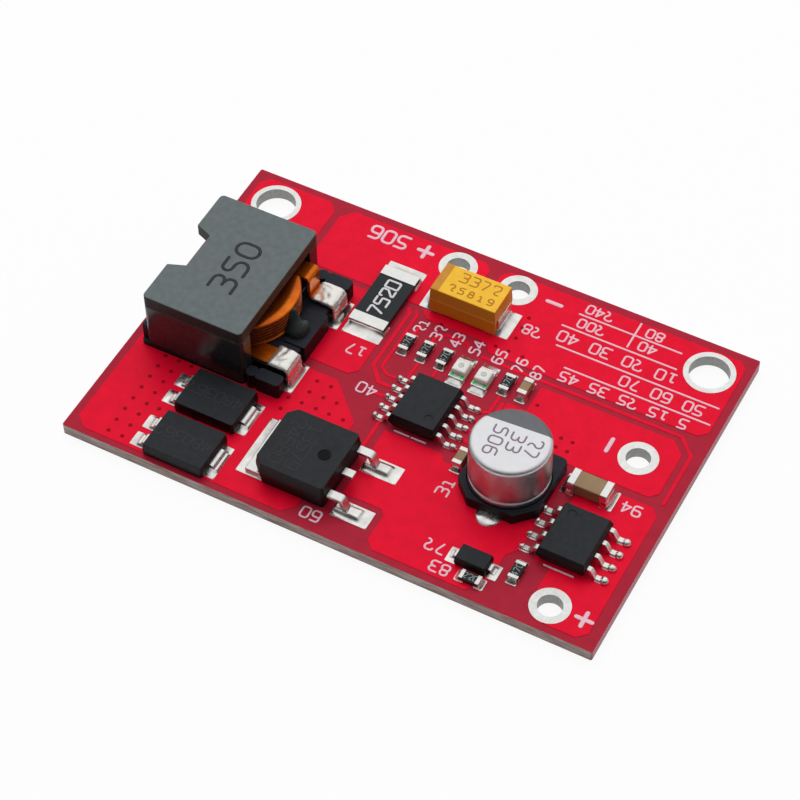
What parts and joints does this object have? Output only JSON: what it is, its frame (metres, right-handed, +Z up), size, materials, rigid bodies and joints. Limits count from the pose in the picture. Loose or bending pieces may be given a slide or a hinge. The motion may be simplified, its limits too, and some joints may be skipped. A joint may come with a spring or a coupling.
{
  "type": "solar charge controller board",
  "caption": "Bare red circuit board with surface-mounted parts: power inductor, can capacitor, transistor, diodes, chips, two mounting holes and four wire holes.",
  "frame": {"origin": "centre of the board's underside", "axes": "+X along the board's long side towards the panel wire holes, +Y towards the edge with the mounting holes, +Z up through the parts"},
  "size_m": [0.044, 0.03, 0.0068],
  "materials": {
    "red_board": "red solder mask over glass laminate, gloss",
    "tin_plate": "bright tin over copper",
    "ferrite": "dark grey sintered ferrite, matt",
    "orange_enamel": "flat copper wire under clear orange enamel, gloss",
    "black_moulding": "black moulded thermoplastic, matt",
    "adhesive": "dark adhesive, satin",
    "yellow_moulding": "yellow moulded epoxy, satin",
    "can_aluminium": "drawn aluminium, satin",
    "tinned_lead": "matt tin over copper alloy",
    "brown_ceramic": "fired ceramic, matt",
    "black_glaze": "black glaze on ceramic, gloss",
    "clear_lens": "clear to milky epoxy, gloss",
    "lamp_strip": "pale laminate strip, matt",
    "black_epoxy": "black moulded epoxy, matt"
  },
  "bodies": {
    "root": {"battery_minus_eyelet": "tin_plate", "battery_plus_eyelet": "tin_plate", "bulk_ceramic_body": "brown_ceramic", "bulk_ceramic_caps": "tinned_lead", "can_base": "black_moulding", "can_leads": "tinned_lead", "capacitor_can": "can_aluminium", "charger_chip_body": "black_epoxy", "charger_chip_leads": "tinned_lead", "front_diode_body": "black_epoxy", "front_diode_leads": "tinned_lead", "gate_resistor_body": "black_glaze", "gate_resistor_caps": "tinned_lead", "inductor_base": "black_moulding", "inductor_coil": "orange_enamel", "inductor_core_lower": "ferrite", "inductor_core_upper": "ferrite", "inductor_glue": "adhesive", "inductor_terminal_tinning": "tin_plate", "input_ceramic_body": "brown_ceramic", "input_ceramic_caps": "tinned_lead", "lamp_resistor_body": "black_glaze", "lamp_resistor_caps": "tinned_lead", "left_lamp_base": "lamp_strip", "left_lamp_lens": "clear_lens", "left_lamp_terminals": "tinned_lead", "left_mounting_eyelet": "tin_plate", "lower_divider_resistor_body": "black_glaze", "lower_divider_resistor_caps": "tinned_lead", "panel_minus_eyelet": "tin_plate", "panel_plus_eyelet": "tin_plate", "printed_board": "red_board", "pull_resistor_body": "black_glaze", "pull_resistor_caps": "tinned_lead", "rear_diode_body": "black_epoxy", "rear_diode_leads": "tinned_lead", "right_lamp_base": "lamp_strip", "right_lamp_lens": "clear_lens", "right_lamp_terminals": "tinned_lead", "right_mounting_eyelet": "tin_plate", "row_ceramic_body": "brown_ceramic", "row_ceramic_caps": "tinned_lead", "sense_resistor_body": "black_glaze", "sense_resistor_caps": "tinned_lead", "shunt_body": "black_glaze", "shunt_caps": "tinned_lead", "signal_diode_body": "black_epoxy", "signal_diode_leads": "tinned_lead", "solder_pads": "tin_plate", "switch_chip_body": "black_epoxy", "switch_chip_leads": "tinned_lead", "tantalum_body": "yellow_moulding", "tantalum_terminals": "tinned_lead", "transistor_body": "black_epoxy", "transistor_leads": "tinned_lead", "transistor_tab": "tinned_lead", "upper_divider_resistor_body": "black_glaze", "upper_divider_resistor_caps": "tinned_lead"}
  },
  "joints": []
}
